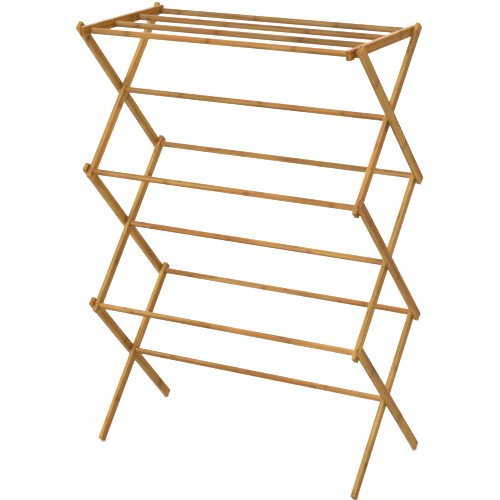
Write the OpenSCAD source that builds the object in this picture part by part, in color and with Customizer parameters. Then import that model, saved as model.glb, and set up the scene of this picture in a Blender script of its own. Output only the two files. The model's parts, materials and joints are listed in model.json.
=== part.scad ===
// Folding clothes drying rack in bamboo.
// Three crossed pairs of flat legs a side make an accordion frame. Round rails join the two
// sides, and a shelf hinged at the top rear rail hooks over the top front rail to hold it open.
// X is width, +Y is the rear, +Z is up, and the feet stand on z = 0.

/* [Overall] */
// Overall width, across the outer faces of the outer legs
rack_w = 749; // [600:1:900]
// Distance between the two end pivots of one leg
leg_span = 465; // [380:1:560]
// Lean of every leg from upright when the rack stands open, in degrees
open_angle = 41.7; // [36:0.1:46]

/* [Flat bars] */
// Width of the flat bar that the legs and the shelf sides are cut from
bar_w = 23; // [19:0.5:28]
// Thickness of the flat bar
bar_t = 10; // [8:0.1:12]
// Length of leg beyond each end pivot
leg_end = 20; // [14:0.5:26]
// Radius of the eased corners at the ends of a bar
corner_r = 3; // [1:0.5:5]

/* [Round rails] */
// Diameter of a rail between the bars
rail_d = 15; // [12:0.5:18]
// Diameter of the tenon turned on each end of a rail
tenon_d = 9; // [7:0.1:11]
// Wood left between a blind hole and the bar's outer face
blind_wall = 3; // [2:0.1:4]

/* [Shelf] */
// Height of the shelf bars' centre line above the rails that they carry
shelf_rise = 2.5; // [0:0.5:4]
// Length of shelf bar in front of the top front rail
shelf_front = 33; // [20:1:45]
// Length of shelf bar behind the top rear rail
shelf_rear = 14; // [10:0.5:18]
// Slope of the hook's rear wall, which lets the rail leave as the shelf lifts, in degrees
hook_flare = 13; // [12:1:20]
// Slope of the hook's front wall, in degrees
hook_lead = 4; // [0:1:8]
// How much wider than the round seat the hook is, on each side
hook_relief = 0.5; // [0.3:0.1:1]

/* [Clearances] */
// Gap between neighbouring layers of bars
layer_gap = 0.4; // [0.3:0.1:1]
// Radial clearance of a tenon in a bar that turns on it
run_gap = 0.08; // [0.04:0.01:0.1]
// Radial clearance at the two front pivots of each side, which close the linkage
loop_gap = 0.3; // [0.2:0.05:0.4]
// Radial gap that the glue fills where a rail is fixed in a bar
glue_gap = 0.03; // [0.02:0.01:0.05]
// Gap between a rail's shoulder and the bar beside it
face_gap = 0.1; // [0.05:0.05:0.3]
// Gap between a tenon's end and the bottom of its blind hole
end_gap = 0.3; // [0.2:0.1:1]
// Gap between the hook and the rail that it sits on
hook_gap = 0.3; // [0.2:0.05:0.5]

/* [Hidden] */
$fn = 64;

half_span = leg_span / 2;
pivot_y = half_span * sin(open_angle);
pivot_z = half_span * cos(open_angle);

// The rounded end corners of a leg reach this far from its crossing, in depth and in height.
core_len = half_span + leg_end - corner_r;
core_half = bar_w / 2 - corner_r;
reach_y = core_len * sin(open_angle) + core_half * cos(open_angle) + corner_r;
reach_z = core_len * cos(open_angle) + core_half * sin(open_angle) + corner_r;

// The crossings stand a little behind the middle, because the shelf's hooks lead in front.
front_y = max(reach_y, pivot_y + shelf_front);
mid_y = (front_y - reach_y) / 2;

function crossing_z(k) = reach_z + 2 * k * pivot_z;
function knuckle_z(k) = crossing_z(k) + pivot_z;
top_z = crossing_z(2) + pivot_z;
rail_step = 2 * pivot_y / 3;
shelf_z = top_z + shelf_rise;

// Inner faces of the three layers of bars on the right side, outermost first.
outer_x = rack_w / 2 - bar_t;
inner_x = outer_x - layer_gap - bar_t;
shelf_x = inner_x - layer_gap - bar_t;

rail_r = rail_d / 2;
tenon_r = tenon_d / 2;
blind = bar_t - blind_wall;

// Outline of a bar end to end: a rectangle with rounded corners, centred.
module bar_outline(len) {
    square([len - 2 * corner_r, bar_w], center = true);
    square([len, bar_w - 2 * corner_r], center = true);
    for (sx = [-1, 1], sy = [-1, 1])
        translate([sx * (len / 2 - corner_r), sy * (bar_w / 2 - corner_r)]) circle(corner_r);
}

// Stands a side-view outline up as a bar of the layer whose inner face is at x.
module side_bar(x) {
    translate([x, 0, 0]) rotate([90, 0, 90]) linear_extrude(bar_t) children();
}

// A cylinder along X from x0 to x1, at a place in the side view.
module rod(y, z, r, x0, x1) {
    translate([x0, y, z]) rotate([0, 90, 0]) cylinder(r = r, h = x1 - x0);
}

// A hole right through a bar of the layer whose inner face is at x.
module through_hole(x, y, z, r) {
    rod(y, z, r, x - 1, x + bar_t + 1);
}

// A hole from a bar's inner face that stops short of its outer face.
module blind_hole(x, y, z, r) {
    rod(y, z, r, x - 1, x + blind);
}

// One leg of crossing k. lean is 1 when the top end leans to the front, -1 to the rear.
module leg_blank(k, lean, x) {
    side_bar(x) translate([mid_y, crossing_z(k)]) rotate(90 + lean * open_angle)
        bar_outline(leg_span + 2 * leg_end);
}

// Right outer leg: it turns on the cross rail, and holds the rails at its end pivots.
module outer_leg(k) {
    difference() {
        leg_blank(k, 1, outer_x);
        blind_hole(outer_x, mid_y, crossing_z(k), tenon_r + run_gap);
        blind_hole(outer_x, mid_y - pivot_y, knuckle_z(k), tenon_r + glue_gap);
        if (k > 0)
            blind_hole(outer_x, mid_y + pivot_y, knuckle_z(k - 1), tenon_r + glue_gap);
    }
}

// Right inner leg: it holds the cross rail, and turns on the rails of the outer legs.
// The upper one also holds the top rear rail.
module inner_leg(k) {
    difference() {
        leg_blank(k, -1, inner_x);
        through_hole(inner_x, mid_y, crossing_z(k), tenon_r + glue_gap);
        if (k > 0)
            through_hole(inner_x, mid_y - pivot_y, knuckle_z(k - 1), tenon_r + loop_gap);
        if (k < 2)
            through_hole(inner_x, mid_y + pivot_y, knuckle_z(k), tenon_r + run_gap);
        else
            blind_hole(inner_x, mid_y + pivot_y, top_z, tenon_r + glue_gap);
    }
}

// A rail: full diameter between the shoulders, and a tenon that ends in the blind hole
// of the bar whose inner face is at hold_x.
module rail(y, z, shoulder_x, hold_x) {
    shoulder = shoulder_x - face_gap;
    tip = hold_x + blind - end_gap;
    rod(y, z, rail_r, -shoulder, shoulder);
    rod(y, z, tenon_r, -tip, tip);
}

// The hook's mouth seen from the side, with the rail's centre at the origin and the rear to
// the right. Its walls start just wider than the round seat and open downwards.
module hook_mouth() {
    seat_r = rail_r + hook_gap;
    top = seat_r / 5;
    half = seat_r + hook_relief;
    drop = bar_w / 2 - shelf_rise + 1;
    circle(seat_r);
    polygon([[-half, top], [half, top],
             [half + (drop + top) * tan(hook_flare), -drop],
             [-half - (drop + top) * tan(hook_lead), -drop]]);
}

// Right side bar of the shelf, which turns on the top rear rail.
module shelf_bar() {
    len = 2 * pivot_y + shelf_front + shelf_rear;
    difference() {
        side_bar(shelf_x) difference() {
            translate([mid_y + (shelf_rear - shelf_front) / 2, shelf_z]) bar_outline(len);
            translate([mid_y - pivot_y, top_z]) hook_mouth();
        }
        through_hole(shelf_x, mid_y + pivot_y, top_z, tenon_r + run_gap);
        for (i = [1, 2])
            blind_hole(shelf_x, mid_y - pivot_y + i * rail_step, top_z, tenon_r + glue_gap);
    }
}

module left_side() {
    mirror([1, 0, 0]) children();
}

module outer_leg_lower_left() { color("#b8782f") left_side() outer_leg(0); }
module outer_leg_lower_right() { color("#b8782f") outer_leg(0); }
module outer_leg_middle_left() { color("#b8782f") left_side() outer_leg(1); }
module outer_leg_middle_right() { color("#b8782f") outer_leg(1); }
module outer_leg_upper_left() { color("#b8782f") left_side() outer_leg(2); }
module outer_leg_upper_right() { color("#b8782f") outer_leg(2); }

module inner_leg_lower_left() { color("#ad6c2a") left_side() inner_leg(0); }
module inner_leg_lower_right() { color("#ad6c2a") inner_leg(0); }
module inner_leg_middle_left() { color("#ad6c2a") left_side() inner_leg(1); }
module inner_leg_middle_right() { color("#ad6c2a") inner_leg(1); }
module inner_leg_upper_left() { color("#ad6c2a") left_side() inner_leg(2); }
module inner_leg_upper_right() { color("#ad6c2a") inner_leg(2); }

module cross_rail_lower() { color("#c98d45") rail(mid_y, crossing_z(0), inner_x, outer_x); }
module cross_rail_middle() { color("#c98d45") rail(mid_y, crossing_z(1), inner_x, outer_x); }
module cross_rail_upper() { color("#c98d45") rail(mid_y, crossing_z(2), inner_x, outer_x); }

module front_rail_lower() { color("#c98d45") rail(mid_y - pivot_y, knuckle_z(0), inner_x, outer_x); }
module front_rail_upper() { color("#c98d45") rail(mid_y - pivot_y, knuckle_z(1), inner_x, outer_x); }
module rear_rail_lower() { color("#c98d45") rail(mid_y + pivot_y, knuckle_z(0), inner_x, outer_x); }
module rear_rail_upper() { color("#c98d45") rail(mid_y + pivot_y, knuckle_z(1), inner_x, outer_x); }

module top_front_rail() { color("#c98d45") rail(mid_y - pivot_y, top_z, outer_x, outer_x); }
module top_rear_rail() { color("#c98d45") rail(mid_y + pivot_y, top_z, shelf_x, inner_x); }

module shelf_rail_front() {
    color("#c98d45") rail(mid_y - pivot_y + rail_step, top_z, shelf_x, shelf_x);
}
module shelf_rail_rear() {
    color("#c98d45") rail(mid_y - pivot_y + 2 * rail_step, top_z, shelf_x, shelf_x);
}
module shelf_bar_left() { color("#c07f38") left_side() shelf_bar(); }
module shelf_bar_right() { color("#c07f38") shelf_bar(); }

outer_leg_lower_left();
outer_leg_lower_right();
outer_leg_middle_left();
outer_leg_middle_right();
outer_leg_upper_left();
outer_leg_upper_right();
inner_leg_lower_left();
inner_leg_lower_right();
inner_leg_middle_left();
inner_leg_middle_right();
inner_leg_upper_left();
inner_leg_upper_right();
cross_rail_lower();
cross_rail_middle();
cross_rail_upper();
front_rail_lower();
front_rail_upper();
rear_rail_lower();
rear_rail_upper();
top_front_rail();
top_rear_rail();
shelf_rail_front();
shelf_rail_rear();
shelf_bar_left();
shelf_bar_right();
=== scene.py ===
import json
import math
import bmesh
import bpy
import numpy as np
from mathutils import Matrix, Vector


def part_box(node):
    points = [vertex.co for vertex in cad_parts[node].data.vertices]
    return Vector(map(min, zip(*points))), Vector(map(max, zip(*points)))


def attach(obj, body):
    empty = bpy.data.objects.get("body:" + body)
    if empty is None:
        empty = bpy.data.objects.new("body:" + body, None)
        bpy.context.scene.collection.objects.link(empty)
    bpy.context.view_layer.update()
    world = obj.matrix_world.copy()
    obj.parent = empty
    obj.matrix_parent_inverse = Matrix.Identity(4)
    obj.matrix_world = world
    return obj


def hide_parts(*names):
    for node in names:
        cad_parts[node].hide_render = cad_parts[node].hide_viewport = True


# Folding bamboo drying rack: eased flat bars, turned rails, and solid bamboo that runs through each piece.
# Lengths are in metres. X is width, +Y the rear, +Z up.

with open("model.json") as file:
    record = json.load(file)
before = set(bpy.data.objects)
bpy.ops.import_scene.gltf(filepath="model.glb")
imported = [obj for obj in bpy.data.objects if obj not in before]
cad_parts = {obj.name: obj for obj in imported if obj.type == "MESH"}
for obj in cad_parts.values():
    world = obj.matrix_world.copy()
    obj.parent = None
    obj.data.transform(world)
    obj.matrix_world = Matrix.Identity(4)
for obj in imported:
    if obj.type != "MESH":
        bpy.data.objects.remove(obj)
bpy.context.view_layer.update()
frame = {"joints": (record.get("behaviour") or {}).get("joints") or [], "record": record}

pivots = {joint["name"]: Vector(joint["pos_m"]) for joint in frame["joints"]}
crossings = [pivots[name] for name in ("fold", "middle_crossing", "upper_crossing")]
rearPivots = [pivots[name] for name in ("lower_rear_pivot", "upper_rear_pivot", "shelf_hinge")]
halfDepth = rearPivots[0].y - crossings[0].y
lean = math.atan2(halfDepth, rearPivots[0].z - crossings[0].z)
bodyOf = {node: body for body, nodes in frame["record"]["behaviour"]["bodies"].items() for node in nodes}
slotOf = {part["node"]: part["material_slot"] for part in frame["record"]["subparts"]}
pieceNo = {node: number for number, node in enumerate(sorted(bodyOf))}
print("frame loaded:", len(pieceNo), "parts, legs lean", round(math.degrees(lean), 1), "degrees")


# ---- bamboo ----

bamboo = {
    "strip": 0.0058,                      # thickness of one glued strip
    "pore": (0.13, 0.045, 0.01, 1),
    "ring": (0.11, 0.035, 0.008, 1),      # the line round a knuckle
    "seam": (0.14, 0.05, 0.012, 1),       # glue between two strips
    "bundle": (0.09, 0.03, 0.01, 1),      # fibre ends seen in a cut
    "soaked": (0.2, 0.075, 0.02, 1),      # a cut end that drank the finish
    # wear and painted highlight along the eased edges
    "worn": (0.85, 0.52, 0.20, 1),
    "pale": (0.60, 0.52, 0.20, 1),        # the narrow sides: partly flat grain, partly a painted sheen
    "relief": 0.35,
    "reliefDepth": 0.00025,
    "specular": 0.1,
    "coatRoughness": 0.28,
}


def newGroup(name, inputs, outputs):
    # an empty shader node group with its sockets: inputs are (name, type, default), outputs (name, type)
    tree = bpy.data.node_groups.new(name, "ShaderNodeTree")
    for label, kind, default in inputs:
        socket = tree.interface.new_socket(name=label, in_out="INPUT", socket_type=kind)
        if default is not None:
            socket.default_value = default
    for label, kind in outputs:
        tree.interface.new_socket(name=label, in_out="OUTPUT", socket_type=kind)
    return tree, tree.nodes.new("NodeGroupInput"), tree.nodes.new("NodeGroupOutput")


def plug(tree, socket, value):
    # a socket takes either a link or a plain value
    if isinstance(value, bpy.types.NodeSocket):
        tree.links.new(value, socket)
    else:
        socket.default_value = value


def mathNode(tree, operation, *values):
    node = tree.nodes.new("ShaderNodeMath")
    node.operation = operation
    for socket, value in zip(node.inputs, values):
        plug(tree, socket, value)
    return node.outputs[0]


def fade(tree, value, start, end, low=1.0, high=0.0):
    # smooth change from low at start to high at end
    node = tree.nodes.new("ShaderNodeMapRange")
    node.interpolation_type = "SMOOTHSTEP"
    settings = {"Value": value, "From Min": start, "From Max": end, "To Min": low, "To Max": high}
    for label, item in settings.items():
        plug(tree, node.inputs[label], item)
    return node.outputs["Result"]


def blendColour(tree, amount, first, second, how="MIX"):
    node = tree.nodes.new("ShaderNodeMix")
    node.data_type, node.blend_type = "RGBA", how
    for socket, value in ((node.inputs[0], amount), (node.inputs[6], first), (node.inputs[7], second)):
        plug(tree, socket, value)
    return node.outputs[2]


def stretchedNoise(tree, vector, stretch, detail, roughness=0.5):
    # noise whose grains are 1/stretch metres long in each direction
    scaled = tree.nodes.new("ShaderNodeVectorMath")
    scaled.operation = "MULTIPLY"
    plug(tree, scaled.inputs[0], vector)
    scaled.inputs[1].default_value = stretch
    noise = tree.nodes.new("ShaderNodeTexNoise")
    noise.inputs["Scale"].default_value = 1.0
    noise.inputs["Detail"].default_value = detail
    noise.inputs["Roughness"].default_value = roughness
    tree.links.new(scaled.outputs[0], noise.inputs["Vector"])
    return noise.outputs[0]


def makeFibreGroup():
    # Solid bamboo in a piece's own lengths: X along the fibres, Y across, Z through the glued strips.
    tree, into, out = newGroup("bambooFibre", [
        ("Fibre", "NodeSocketVector", None), ("Light", "NodeSocketColor", None),
        ("Deep", "NodeSocketColor", None), ("Knuckle", "NodeSocketColor", None),
        ("Red", "NodeSocketColor", None), ("Strip", "NodeSocketFloat", bamboo["strip"]),
        ("Spacing", "NodeSocketFloat", 0.24),
        ("Contrast", "NodeSocketFloat", 1.0), ("Knuckles", "NodeSocketFloat", 1.0),
        ("Tone", "NodeSocketFloat", 1.0), ("Side", "NodeSocketFloat", 0.0),
        ("Pale", "NodeSocketColor", bamboo["pale"]), ("Paling", "NodeSocketFloat", 0.0)],
        [("Color", "NodeSocketColor"), ("Roughness", "NodeSocketFloat"), ("Height", "NodeSocketFloat")])
    get = into.outputs
    split = tree.nodes.new("ShaderNodeSeparateXYZ")
    tree.links.new(get["Fibre"], split.inputs[0])
    along, depth = split.outputs[0], split.outputs[2]

    inStrip = mathNode(tree, "DIVIDE", depth, get["Strip"])
    stripNo = mathNode(tree, "FLOOR", inStrip)
    chance = tree.nodes.new("ShaderNodeTexWhiteNoise")
    chance.noise_dimensions = "1D"
    tree.links.new(stripNo, chance.inputs["W"])
    dice = tree.nodes.new("ShaderNodeSeparateColor")
    tree.links.new(chance.outputs["Color"], dice.inputs[0])

    # the culm's knuckles: a thin dark ring in a wider reddish zone, at a place of each strip's own
    wander = mathNode(tree, "MULTIPLY", stretchedNoise(tree, get["Fibre"], (25, 160, 160), 1.0), 0.005)
    shifted = mathNode(tree, "MULTIPLY_ADD", dice.outputs[0], get["Spacing"], along)
    place = mathNode(tree, "DIVIDE", mathNode(tree, "ADD", shifted, wander), get["Spacing"])
    apart = mathNode(tree, "ABSOLUTE", mathNode(tree, "SUBTRACT", mathNode(tree, "FRACT", place), 0.5))
    gap = mathNode(tree, "MULTIPLY", apart, get["Spacing"])
    ring = mathNode(tree, "MULTIPLY", fade(tree, gap, 0.0003, 0.0016), get["Knuckles"])
    zone = mathNode(tree, "MULTIPLY", fade(tree, gap, 0.001, 0.016), get["Knuckles"])

    fine = stretchedNoise(tree, get["Fibre"], (9, 1500, 1500), 3.0, 0.6)
    broad = stretchedNoise(tree, get["Fibre"], (2.4, 135, 135), 2.0)
    slow = stretchedNoise(tree, get["Fibre"], (9, 14, 14), 1.0)
    pores = fade(tree, stretchedNoise(tree, get["Fibre"], (42, 2600, 2600), 0.0), 0.6, 0.74, 0.0, 1.0)

    # tone 0 is the deep colour and 1 the light one: each source swings it about the middle by its weight
    tone = 0.5
    for source, weight in ((fine, 0.75), (broad, 1.8), (slow, 1.2), (dice.outputs[1], 0.55)):
        tone = mathNode(tree, "MULTIPLY_ADD", mathNode(tree, "SUBTRACT", source, 0.5), weight, tone)
    tone = mathNode(tree, "MULTIPLY_ADD", mathNode(tree, "SUBTRACT", tone, 0.5), get["Contrast"], 0.5)
    clamp = tree.nodes.new("ShaderNodeClamp")
    tree.links.new(tone, clamp.inputs["Value"])

    colour = blendColour(tree, clamp.outputs[0], get["Deep"], get["Light"])
    # long streaks where the steamed fibres turned redder
    streak = fade(tree, stretchedNoise(tree, get["Fibre"], (3, 95, 130), 1.0), 0.48, 0.66, 0.0, 1.0)
    colour = blendColour(tree, mathNode(tree, "MULTIPLY", streak, 0.7), colour, get["Red"])
    # a bar's narrow sides are mixed toward a paler, yellower colour: partly the strips' flat grain, partly a
    # painted sheen
    colour = blendColour(tree, mathNode(tree, "MULTIPLY", get["Side"], get["Paling"]), colour, get["Pale"])
    colour = blendColour(tree, mathNode(tree, "MULTIPLY", pores, 0.3), colour, bamboo["pore"])
    colour = blendColour(tree, mathNode(tree, "MULTIPLY", zone, 0.5), colour, get["Knuckle"])
    colour = blendColour(tree, mathNode(tree, "MULTIPLY", ring, 0.55), colour, bamboo["ring"])
    fromSeam = mathNode(tree, "FRACT", mathNode(tree, "ADD", inStrip, 0.5))
    fromSeam = mathNode(tree, "ABSOLUTE", mathNode(tree, "SUBTRACT", fromSeam, 0.5))
    seam = fade(tree, mathNode(tree, "MULTIPLY", fromSeam, get["Strip"]), 0.00004, 0.00022)
    colour = blendColour(tree, mathNode(tree, "MULTIPLY", seam, 0.45), colour, bamboo["seam"])
    # each stick's tone, which on some rails also carries painted shade
    tree.links.new(blendColour(tree, 1.0, colour, get["Tone"], "MULTIPLY"), out.inputs["Color"])

    rough = mathNode(tree, "MULTIPLY_ADD", fine, 0.16, 0.36)
    rough = mathNode(tree, "MULTIPLY_ADD", zone, 0.05, rough)
    tree.links.new(rough, out.inputs["Roughness"])
    height = mathNode(tree, "MULTIPLY_ADD", ring, 0.9, mathNode(tree, "MULTIPLY", fine, 0.35))
    height = mathNode(tree, "MULTIPLY_ADD", pores, -0.5, height)
    height = mathNode(tree, "MULTIPLY_ADD", seam, -0.6, height)
    tree.links.new(height, out.inputs["Height"])
    return tree


def makeEndGrainGroup():
    # Cut ends drink more finish: darker, rougher, and dotted with the fibre bundles.
    tree, into, out = newGroup("cutEnd", [
        ("Color", "NodeSocketColor", None), ("Roughness", "NodeSocketFloat", 0.4),
        ("Fibre", "NodeSocketVector", None), ("Mask", "NodeSocketFloat", 0.0),
        ("Darken", "NodeSocketFloat", 0.12)],
        [("Color", "NodeSocketColor"), ("Roughness", "NodeSocketFloat")])
    get = into.outputs
    scaled = tree.nodes.new("ShaderNodeVectorMath")
    scaled.operation = "MULTIPLY"
    tree.links.new(get["Fibre"], scaled.inputs[0])
    scaled.inputs[1].default_value = (0, 1100, 1100)
    cells = tree.nodes.new("ShaderNodeTexVoronoi")
    cells.inputs["Scale"].default_value = 1.0
    tree.links.new(scaled.outputs[0], cells.inputs["Vector"])
    dots = mathNode(tree, "MULTIPLY", fade(tree, cells.outputs["Distance"], 0.18, 0.34), get["Mask"])
    colour = blendColour(tree, mathNode(tree, "MULTIPLY", get["Mask"], get["Darken"]), get["Color"],
                         bamboo["soaked"])
    colour = blendColour(tree, mathNode(tree, "MULTIPLY", dots, 0.55), colour, bamboo["bundle"])
    tree.links.new(colour, out.inputs["Color"])
    rough = mathNode(tree, "MULTIPLY_ADD", get["Mask"], 0.2, get["Roughness"])
    tree.links.new(rough, out.inputs["Roughness"])
    return tree


def makeEdgeWearAndHighlightGroup():
    # The eased edges go paler and smoother in patches: partly rubbed by hands, partly a painted highlight
    # along the edges.
    tree, into, out = newGroup("edgeWear", [
        ("Color", "NodeSocketColor", None), ("Roughness", "NodeSocketFloat", 0.4),
        ("Fibre", "NodeSocketVector", None), ("Edge", "NodeSocketFloat", 0.0),
        ("Amount", "NodeSocketFloat", 0.5), ("Worn", "NodeSocketColor", None)],
        [("Color", "NodeSocketColor"), ("Roughness", "NodeSocketFloat")])
    get = into.outputs
    patches = fade(tree, stretchedNoise(tree, get["Fibre"], (22, 300, 300), 2.0), 0.35, 0.65, 0.0, 1.0)
    worn = mathNode(tree, "MULTIPLY", mathNode(tree, "MULTIPLY", get["Edge"], patches), get["Amount"])
    tree.links.new(blendColour(tree, worn, get["Color"], get["Worn"]), out.inputs["Color"])
    tree.links.new(mathNode(tree, "MULTIPLY_ADD", worn, -0.12, get["Roughness"]), out.inputs["Roughness"])
    return tree


fibreGroup, cutEndGroup, edgeWearAndHighlightGroup = makeFibreGroup(), makeEndGrainGroup(), makeEdgeWearAndHighlightGroup()

# carbonised bamboo under a satin lacquer: one set of values for each kind of stick
finishes = {
    "outer_leg": {"light": (0.55, 0.278, 0.041), "deep": (0.295, 0.116, 0.009), "red": (0.47, 0.140, 0.010),
                  "knuckle": (0.19, 0.057, 0.006), "spacing": 0.235, "contrast": 1.6, "knuckles": 0.8,
                  "wear": 0.65, "coat": 0.05, "paling": 0.21},
    "inner_leg": {"light": (0.64, 0.335, 0.064), "deep": (0.38, 0.160, 0.017), "red": (0.55, 0.172, 0.013),
                  "knuckle": (0.23, 0.070, 0.008), "spacing": 0.25, "contrast": 1.6, "knuckles": 0.8,
                  "wear": 0.65, "coat": 0.05, "paling": 0.16},
    "shelf_bar": {"light": (0.49, 0.210, 0.019), "deep": (0.27, 0.090, 0.005), "red": (0.43, 0.115, 0.006),
                  "knuckle": (0.18, 0.052, 0.005), "spacing": 0.24, "contrast": 1.6, "knuckles": 0.8,
                  "wear": 0.8, "coat": 0.05, "paling": 0.14},
    "rail": {"light": (0.53, 0.280, 0.066), "deep": (0.31, 0.135, 0.022), "red": (0.45, 0.148, 0.019),
             "knuckle": (0.205, 0.065, 0.010), "spacing": 0.22, "contrast": 1.8, "knuckles": 0.8,
             "wear": 0.3, "coat": 0.12, "paling": 0.0},
}


def bambooMaterial(name, look):
    material = bpy.data.materials.new(name + "Bamboo")
    material.use_nodes = True
    tree = material.node_tree
    surface = tree.nodes["Principled BSDF"]
    reads = {}
    for label in ("fibre", "edge", "side", "cutEnd", "tone"):
        node = tree.nodes.new("ShaderNodeAttribute")
        node.attribute_name = label
        reads[label] = node.outputs["Vector" if label == "fibre" else "Fac"]

    wood = tree.nodes.new("ShaderNodeGroup")
    wood.node_tree = fibreGroup
    tree.links.new(reads["fibre"], wood.inputs["Fibre"])
    tree.links.new(reads["tone"], wood.inputs["Tone"])
    tree.links.new(reads["side"], wood.inputs["Side"])
    for label in ("Light", "Deep", "Knuckle", "Red"):
        wood.inputs[label].default_value = (*look[label.lower()], 1)
    for label in ("Spacing", "Contrast", "Knuckles", "Paling"):
        wood.inputs[label].default_value = look[label.lower()]

    # wear and painted highlight: patches along the eased edges are mixed toward a pale colour
    worn = tree.nodes.new("ShaderNodeGroup")
    worn.node_tree = edgeWearAndHighlightGroup
    worn.inputs["Amount"].default_value = look["wear"]
    worn.inputs["Worn"].default_value = bamboo["worn"]
    tree.links.new(reads["edge"], worn.inputs["Edge"])

    ends = tree.nodes.new("ShaderNodeGroup")
    ends.node_tree = cutEndGroup
    tree.links.new(reads["cutEnd"], ends.inputs["Mask"])
    for before, after in ((wood, worn), (worn, ends)):
        tree.links.new(before.outputs["Color"], after.inputs["Color"])
        tree.links.new(before.outputs["Roughness"], after.inputs["Roughness"])
        tree.links.new(reads["fibre"], after.inputs["Fibre"])

    relief = tree.nodes.new("ShaderNodeBump")
    relief.inputs["Strength"].default_value = bamboo["relief"]
    relief.inputs["Distance"].default_value = bamboo["reliefDepth"]
    tree.links.new(wood.outputs["Height"], relief.inputs["Height"])
    tree.links.new(ends.outputs["Color"], surface.inputs["Base Color"])
    tree.links.new(ends.outputs["Roughness"], surface.inputs["Roughness"])
    tree.links.new(relief.outputs["Normal"], surface.inputs["Normal"])
    surface.inputs["Specular IOR Level"].default_value = bamboo["specular"]
    surface.inputs["Coat Weight"].default_value = look["coat"]
    surface.inputs["Coat Roughness"].default_value = bamboo["coatRoughness"]
    return material


materials = {name: bambooMaterial(name, look) for name, look in finishes.items()}
print("bamboo ready:", len(materials), "finishes")


# ---- shapes ----

pastFace = 0.001     # a cutter runs this far past the face that it cuts


def gridFaces(rows, columns):
    # quads of a grid that closes on itself along its columns
    row, column = np.meshgrid(np.arange(rows - 1), np.arange(columns), indexing="ij")
    nextColumn = (column + 1) % columns
    return np.stack([row * columns + column, row * columns + nextColumn,
                     (row + 1) * columns + nextColumn, (row + 1) * columns + column], -1).reshape(-1, 4)


def closedMesh(name, points, faces):
    # doubles are merged first, so seams and collapsed rows are closed before normals are worked out
    mesh = bpy.data.meshes.new(name)
    mesh.from_pydata(points.tolist(), [], [list(face) for face in faces])
    work = bmesh.new()
    work.from_mesh(mesh)
    bmesh.ops.remove_doubles(work, verts=work.verts, dist=1e-6)
    bmesh.ops.recalc_face_normals(work, faces=work.faces)
    work.to_mesh(mesh)
    work.free()
    return mesh


def roundedLoop(halfLength, halfWidth, radius, steps):
    # outline of a rectangle with rounded corners: each corner is its centre plus a quarter turn
    turn = (np.arange(4)[:, None] + np.linspace(0, 1, steps)[None, :]) * math.pi / 2
    signLength = np.array([1, -1, -1, 1])[:, None]
    signWidth = np.array([1, 1, -1, -1])[:, None]
    return np.stack([signLength * (halfLength - radius) + radius * np.cos(turn),
                     signWidth * (halfWidth - radius) + radius * np.sin(turn)], -1).reshape(-1, 2)


def barShell(length, width, thickness, cornerRadius, easedEdge):
    # A flat bar: the outline drawn inwards by an inset, at a height. Across the narrow side the pair
    # (inset, height) follows a quarter circle, a straight and a quarter circle, and on each broad face
    # the inset runs to the middle line, where the two sides of the outline meet. The rows beside each
    # eased edge let the stripe of wear and painted highlight fade out on both faces.
    turn = np.linspace(0, math.pi / 2, 6)
    inset = np.concatenate([[width / 2, easedEdge * 2, easedEdge * 1.2], easedEdge * (1 - np.sin(turn)),
                            [0]])
    height = np.concatenate([[thickness / 2] * 3, thickness / 2 - easedEdge * (1 - np.cos(turn)),
                             [thickness / 2 - easedEdge * 2]])
    inset, height = np.concatenate([inset, inset[::-1]]), np.concatenate([height, -height[::-1]])
    rows = []
    for gap, level in zip(inset, height):
        outline = roundedLoop(length / 2 - gap, width / 2 - gap, max(cornerRadius - gap, 0), 7)
        rows.append(np.column_stack([outline, np.full(len(outline), level)]))
    return np.concatenate(rows), gridFaces(len(rows), len(outline))


def rodShell(stations, radii, around=56):
    # A turned rod: a radius for each station along X, carried round in a circle, the ends closed to a point.
    angle = np.arange(around) * 2 * math.pi / around
    stations, radii = np.asarray(stations), np.asarray(radii)
    ring = np.stack([np.broadcast_to(stations[:, None], (len(stations), around)),
                     radii[:, None] * np.cos(angle), radii[:, None] * np.sin(angle)], -1)
    return ring.reshape(-1, 3), gridFaces(len(stations), around)


def prismShell(outline, x0, x1):
    # a closed side-view outline carried straight along X
    count = len(outline)
    points = np.concatenate([np.column_stack([np.full(count, x), outline]) for x in (x0, x1)])
    return points, [*gridFaces(2, count).tolist(), list(range(count)), list(range(count, 2 * count))]


def cutAway(piece, cutters):
    # takes the cutters out of the piece and keeps the result as plain mesh
    points, faces, start = [], [], 0
    for cutterPoints, cutterFaces in cutters:
        points.append(cutterPoints)
        faces += [[corner + start for corner in face] for face in cutterFaces]
        start += len(cutterPoints)
    tool = bpy.data.objects.new("cutter", closedMesh("cutter", np.concatenate(points), faces))
    bpy.context.scene.collection.objects.link(tool)
    step = piece.modifiers.new("bores", "BOOLEAN")
    step.object, step.operation, step.solver = tool, "DIFFERENCE", "EXACT"
    solid = bpy.data.meshes.new_from_object(piece.evaluated_get(bpy.context.evaluated_depsgraph_get()))
    piece.modifiers.clear()
    piece.data = solid
    bpy.data.objects.remove(tool)


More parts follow.
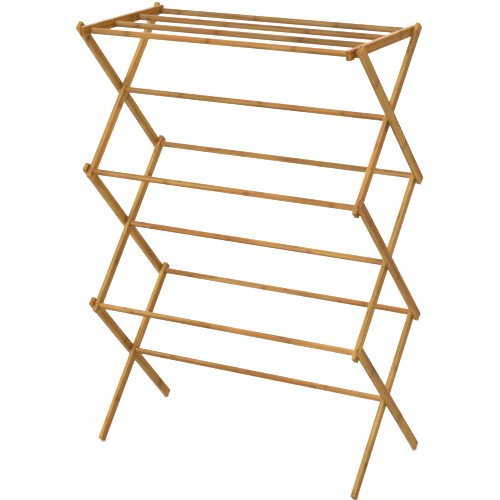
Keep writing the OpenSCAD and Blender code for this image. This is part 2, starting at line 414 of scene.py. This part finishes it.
def addFibre(mesh, origin, axes, halfSize, seed, easedEdge, tone=1.0):
    # What the bamboo reads at every point: where it is along, across and through the stick, how near an
    # eased edge it is, whether its surface is a narrow side or a cut end, and the stick's tone, which also
    # carries the painted shade given to some rails. seed picks the culm.
    count = len(mesh.vertices)
    points, normals = np.zeros(count * 3, np.float32), np.zeros(count * 3, np.float32)
    mesh.vertices.foreach_get("co", points)
    mesh.vertex_normals.foreach_get("vector", normals)
    local = (points.reshape(-1, 3) - np.array(origin)) @ np.array(axes).T
    alongFacing, acrossFacing = np.abs(normals.reshape(-1, 3) @ np.array(axes[:2]).T).T
    chance = np.random.default_rng(seed)
    # each piece starts ten strips on from the last, with its seams away from its faces
    fibre = local + np.array([chance.uniform(0, 9), chance.uniform(0, 3),
                              10 * bamboo["strip"] * (seed + 1) - chance.uniform(0.0012, 0.004)])
    # near is the sum of the distances to the two nearest faces, and the wear and painted highlight fade out
    # at its reach
    near = np.sort(np.array(halfSize) - np.abs(local), axis=1)[:, :2].sum(1)
    reach, steepness = 1.8 * easedEdge, 2.2
    edge = np.clip(steepness * (1 - near / reach), 0, 1)
    # a face counts as a side or an end as its normal turns that way
    side = np.clip((acrossFacing - 0.5) / 0.3, 0, 1)
    cutEnd = np.clip((alongFacing - 0.6) / 0.3, 0, 1)
    toneAndShadeHere = np.full(count, tone * chance.uniform(0.94, 1.06))
    for label, values in (("fibre", fibre), ("edge", edge), ("side", side), ("cutEnd", cutEnd),
                          ("tone", toneAndShadeHere)):
        kind, field = ("FLOAT_VECTOR", "vector") if label == "fibre" else ("FLOAT", "value")
        made = mesh.attributes.new(label, kind, "POINT")
        made.data.foreach_set(field, np.ascontiguousarray(values, np.float32).ravel())


def finishPiece(piece, node):
    # smooth where it is round, crisp where it is cut, and riding on the part's body
    piece.data.shade_smooth()
    piece.data.set_sharp_from_angle(angle=math.radians(32))
    weigh = piece.modifiers.new("flatFaces", "WEIGHTED_NORMAL")
    weigh.keep_sharp = True
    piece.data.materials.append(materials[slotOf[node]])
    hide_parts(node)
    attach(piece, bodyOf[node])


def newPiece(name, mesh):
    piece = bpy.data.objects.new(name, mesh)
    bpy.context.scene.collection.objects.link(piece)
    return piece


# ---- flat bars ----

flatBar = {
    "width": 0.023,
    "legLength": 0.505,
    "cornerRadius": 0.003,   # at the ends, seen from the side
    "easedEdge": 0.0008,     # along the long edges
    "tenon": 0.0045,
    "fixedGap": 0.00003,     # radial, where a tenon is glued
    "turnGap": 0.00008,      # radial, where it turns
    "loopGap": 0.0003,       # radial, at the front pivots that close the linkage
    "blindDepth": 0.0070,
}


def drill(node, y, z, gap, through):
    # a round bore into the bar from its inner face, or right through it
    low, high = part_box(node)
    inner, outer = (low[0], high[0]) if low[0] > 0 else (high[0], low[0])
    outward = math.copysign(1, inner)
    end = outer + pastFace * outward if through else inner + flatBar["blindDepth"] * outward
    x0, x1 = sorted((inner - pastFace * outward, end))
    radius = flatBar["tenon"] + gap
    points, faces = rodShell([x0, x0, x1, x1], [0, radius, radius, 0], around=40)
    return points + np.array([0, y, z]), faces


def makeBar(name, node, centreYZ, along, length, cutters):
    low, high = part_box(node)
    thickness = high[0] - low[0]
    centre = ((low[0] + high[0]) / 2, *centreYZ)
    axes = np.array([(0, *along), (0, -along[1], along[0]), (1, 0, 0)])   # along, across and through the bar
    if np.linalg.det(axes) < 0:
        axes[1] *= -1
    points, faces = barShell(length, flatBar["width"], thickness, flatBar["cornerRadius"],
                             flatBar["easedEdge"])
    piece = newPiece(name, closedMesh(name, points @ axes + np.array(centre), faces))
    cutAway(piece, cutters)
    addFibre(piece.data, centre, axes, (length / 2, flatBar["width"] / 2, thickness / 2), pieceNo[node],
             flatBar["easedEdge"])
    finishPiece(piece, node)


tiers = ("lower", "middle", "upper")
rise = rearPivots[0].z - crossings[0].z
for level, crossing in enumerate(crossings):
    front, rear = crossing.y - halfDepth, crossing.y + halfDepth
    above, below = crossing.z + rise, crossing.z - rise
    for side in ("left", "right"):
        # outer leg: top end to the front. It turns on the cross rail and holds a rail at each end pivot.
        node = f"outer_leg_{tiers[level]}_{side}"
        cutters = [drill(node, crossing.y, crossing.z, flatBar["turnGap"], False),
                   drill(node, front, above, flatBar["fixedGap"], False)]
        if level > 0:
            cutters.append(drill(node, rear, below, flatBar["fixedGap"], False))
        makeBar(f"outerLeg{tiers[level].title()}{side.title()}", node, (crossing.y, crossing.z),
                (-math.sin(lean), math.cos(lean)), flatBar["legLength"], cutters)

        # inner leg: top end to the rear. It holds the cross rail and turns on the outer legs' rails.
        node = f"inner_leg_{tiers[level]}_{side}"
        cutters = [drill(node, crossing.y, crossing.z, flatBar["fixedGap"], True),
                   drill(node, rear, above, flatBar["turnGap" if level < 2 else "fixedGap"], level < 2)]
        if level > 0:
            cutters.append(drill(node, front, below, flatBar["loopGap"], True))
        makeBar(f"innerLeg{tiers[level].title()}{side.title()}", node, (crossing.y, crossing.z),
                (math.sin(lean), math.cos(lean)), flatBar["legLength"], cutters)
print("legs ready")

hook = {
    "seat": 0.0078,      # radius of the round seat over the rail
    "steps": 24,
    "relief": 0.0005,    # the walls start this much wider
    "rearSlope": 13,     # degrees
    "frontSlope": 4,
}


def hookOutline(y, z, bottom):
    # The mouth seen from the side: a round seat between two walls that spread as they go down. The walls
    # start above the rail's middle by a fifth of the seat.
    half, top = hook["seat"] + hook["relief"], hook["seat"] / 5
    start = math.asin(top / hook["seat"])
    angle = np.linspace(start, math.pi - start, hook["steps"])
    drop = z - bottom + top
    arc = np.column_stack([hook["seat"] * np.cos(angle), hook["seat"] * np.sin(angle)])
    walls = [[-half, top], [-half - drop * math.tan(math.radians(hook["frontSlope"])), top - drop],
             [half + drop * math.tan(math.radians(hook["rearSlope"])), top - drop], [half, top]]
    return np.concatenate([arc, walls]) + np.array([y, z])


topRear = rearPivots[2]
topFrontY = topRear.y - 2 * halfDepth
for side in ("left", "right"):
    node = f"shelf_bar_{side}"
    low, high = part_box(node)
    cutters = [drill(node, topRear.y, topRear.z, flatBar["turnGap"], True)]
    for rail in ("shelf_rail_front", "shelf_rail_rear"):
        railLow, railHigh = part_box(rail)
        cutters.append(drill(node, (railLow[1] + railHigh[1]) / 2, (railLow[2] + railHigh[2]) / 2,
                             flatBar["fixedGap"], False))
    mouth = hookOutline(topFrontY, topRear.z, low[2] - pastFace)
    cutters.append(prismShell(mouth, low[0] - pastFace, high[0] + pastFace))
    makeBar(f"shelfBar{side.title()}", node, ((low[1] + high[1]) / 2, (low[2] + high[2]) / 2), (1, 0),
            high[1] - low[1], cutters)
print("shelf bars ready")


# ---- round rails ----

roundRail = {
    "easedShoulder": 0.0009,
    "tipChamfer": 0.0006,
    "tenonRoot": 1.05,       # the tenon's radius where it meets the shoulder, as a share of its own
    "shoulderGap": 0.0001,
    "tone": {"shelf_rail_front": 0.75, "shelf_rail_rear": 0.71, "top_rear_rail": 0.73},   # painted shade: these rails are darkened for the lesser light they catch
}
# the bar that each rail's shoulders stop against
shoulderBar = {"top_front_rail": "outer_leg_upper_right", "top_rear_rail": "shelf_bar_right",
               "shelf_rail_front": "shelf_bar_right", "shelf_rail_rear": "shelf_bar_right"}


def makeRail(node):
    low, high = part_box(node)
    radius, tip, tenon = (high[2] - low[2]) / 2, high[0], flatBar["tenon"]
    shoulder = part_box(shoulderBar.get(node, "inner_leg_lower_right"))[0][0] - roundRail["shoulderGap"]
    ease, chamfer = roundRail["easedShoulder"], roundRail["tipChamfer"]
    turn = np.linspace(0, math.pi / 2, 6)
    # half of the profile, from the middle out: body, eased shoulder, tenon, chamfered tip
    station = np.concatenate([[shoulder - 4 * ease, shoulder - 1.3 * ease],
                              shoulder - ease * (1 - np.sin(turn)),
                              [shoulder, shoulder, tip - chamfer, tip, tip]])
    size = np.concatenate([[radius, radius], radius - ease * (1 - np.cos(turn)),
                           [tenon * roundRail["tenonRoot"], tenon, tenon, tenon - chamfer, 0]])
    points, faces = rodShell(np.concatenate([-station[::-1], station]), np.concatenate([size[::-1], size]))
    centre = (0, (low[1] + high[1]) / 2, (low[2] + high[2]) / 2)
    name = "".join(word.title() if place else word for place, word in enumerate(node.split("_")))
    piece = newPiece(name, closedMesh(name, points + np.array(centre), faces))
    # each rod was cut from its culm at a turn of its own
    roll = np.random.default_rng(100 + pieceNo[node]).uniform(0, 2 * math.pi)
    axes = np.array([(1, 0, 0), (0, math.cos(roll), math.sin(roll)), (0, -math.sin(roll), math.cos(roll))])
    # painted shade: the rails listed under tone get their darkening here
    addFibre(piece.data, centre, axes, (shoulder, 1, 1), pieceNo[node], ease,
             roundRail["tone"].get(node, 1.0))
    finishPiece(piece, node)


for node in sorted(slotOf):
    if slotOf[node] == "rail":
        makeRail(node)
print("rails ready")


# ---- floor, light and camera ----

studio = {
    # the sky is brightest over the backdrop, and fades between two cosines from that direction
    "sky": {"bright": (-0.40, 0.65, 0.65), "fade": (-0.3, 1.0), "from": 0.38, "to": 1.95},
    "floor": {"reach": 30, "seen": (0.96, 0.96, 0.955), "bounce": (0.52, 0.50, 0.45)},
    "key": {"towards": (0.26, 0.85, -0.36), "softness": 24, "power": 1.6, "colour": (1.0, 1.15, 1.45)},
}

floorMesh = bpy.data.meshes.new("floor")
reach = studio["floor"]["reach"]
floorMesh.from_pydata([(-reach, -reach, 0), (reach, -reach, 0), (reach, reach, 0), (-reach, reach, 0)], [],
                      [(0, 1, 2, 3)])
floor = newPiece("floor", floorMesh)
paint = bpy.data.materials.new("paleFloor")
paint.use_nodes = True
seen = paint.node_tree.nodes["Principled BSDF"]
seen.inputs["Roughness"].default_value = 1.0
seen.inputs["Specular IOR Level"].default_value = 0.0
rays = paint.node_tree.nodes.new("ShaderNodeLightPath")
tint = blendColour(paint.node_tree, rays.outputs["Is Camera Ray"],
                   (*studio["floor"]["bounce"], 1), (*studio["floor"]["seen"], 1))
paint.node_tree.links.new(tint, seen.inputs["Base Color"])
floorMesh.materials.append(paint)

world = bpy.data.worlds.new("lightTent")
world.use_nodes = True
bpy.context.scene.world = world
sky = world.node_tree
aim = sky.nodes.new("ShaderNodeVectorMath")
aim.operation = "DOT_PRODUCT"
aim.inputs[1].default_value = Vector(studio["sky"]["bright"]).normalized()
sky.links.new(sky.nodes.new("ShaderNodeTexCoord").outputs["Generated"], aim.inputs[0])
glow = fade(sky, aim.outputs["Value"], *studio["sky"]["fade"], studio["sky"]["from"], studio["sky"]["to"])
sky.links.new(glow, sky.nodes["Background"].inputs["Strength"])
sky.nodes["Background"].inputs["Color"].default_value = (1, 1, 1, 1)
backdrop = sky.nodes.new("ShaderNodeBackground")      # what the camera sees behind the floor's edge
backdrop.inputs["Color"].default_value = (1, 1, 1, 1)
pick = sky.nodes.new("ShaderNodeMixShader")
sky.links.new(sky.nodes.new("ShaderNodeLightPath").outputs["Is Camera Ray"], pick.inputs[0])
for place, source in ((1, sky.nodes["Background"]), (2, backdrop)):
    sky.links.new(source.outputs[0], pick.inputs[place])
sky.links.new(pick.outputs[0], sky.nodes["World Output"].inputs["Surface"])

lamp = bpy.data.lights.new("key", "SUN")
lamp.energy, lamp.angle = studio["key"]["power"], math.radians(studio["key"]["softness"])
lamp.color = studio["key"]["colour"]
key = bpy.data.objects.new("key", lamp)
key.rotation_mode = "QUATERNION"
key.rotation_quaternion = Vector(studio["key"]["towards"]).to_track_quat("-Z", "Y")
bpy.context.scene.collection.objects.link(key)

cameraSet = {"at": (1.8725, -3.2967, 1.7462), "turn": 29.65, "tilt": 17.875, "roll": 0.858, "lens": 117.08,
             "sensor": 36, "far": 100}
camera = bpy.data.objects.new("camera", bpy.data.cameras.new("camera"))
camera.data.lens, camera.data.sensor_width = cameraSet["lens"], cameraSet["sensor"]
camera.data.clip_end = cameraSet["far"]
camera.matrix_world = (Matrix.Translation(cameraSet["at"])
                       @ Matrix.Rotation(math.radians(cameraSet["turn"]), 4, "Z")
                       @ Matrix.Rotation(math.radians(90 - cameraSet["tilt"]), 4, "X")
                       @ Matrix.Rotation(math.radians(-cameraSet["roll"]), 4, "Z"))
bpy.context.scene.collection.objects.link(camera)
bpy.context.scene.camera = camera
bpy.context.scene.view_settings.view_transform = "Standard"
print("studio ready")
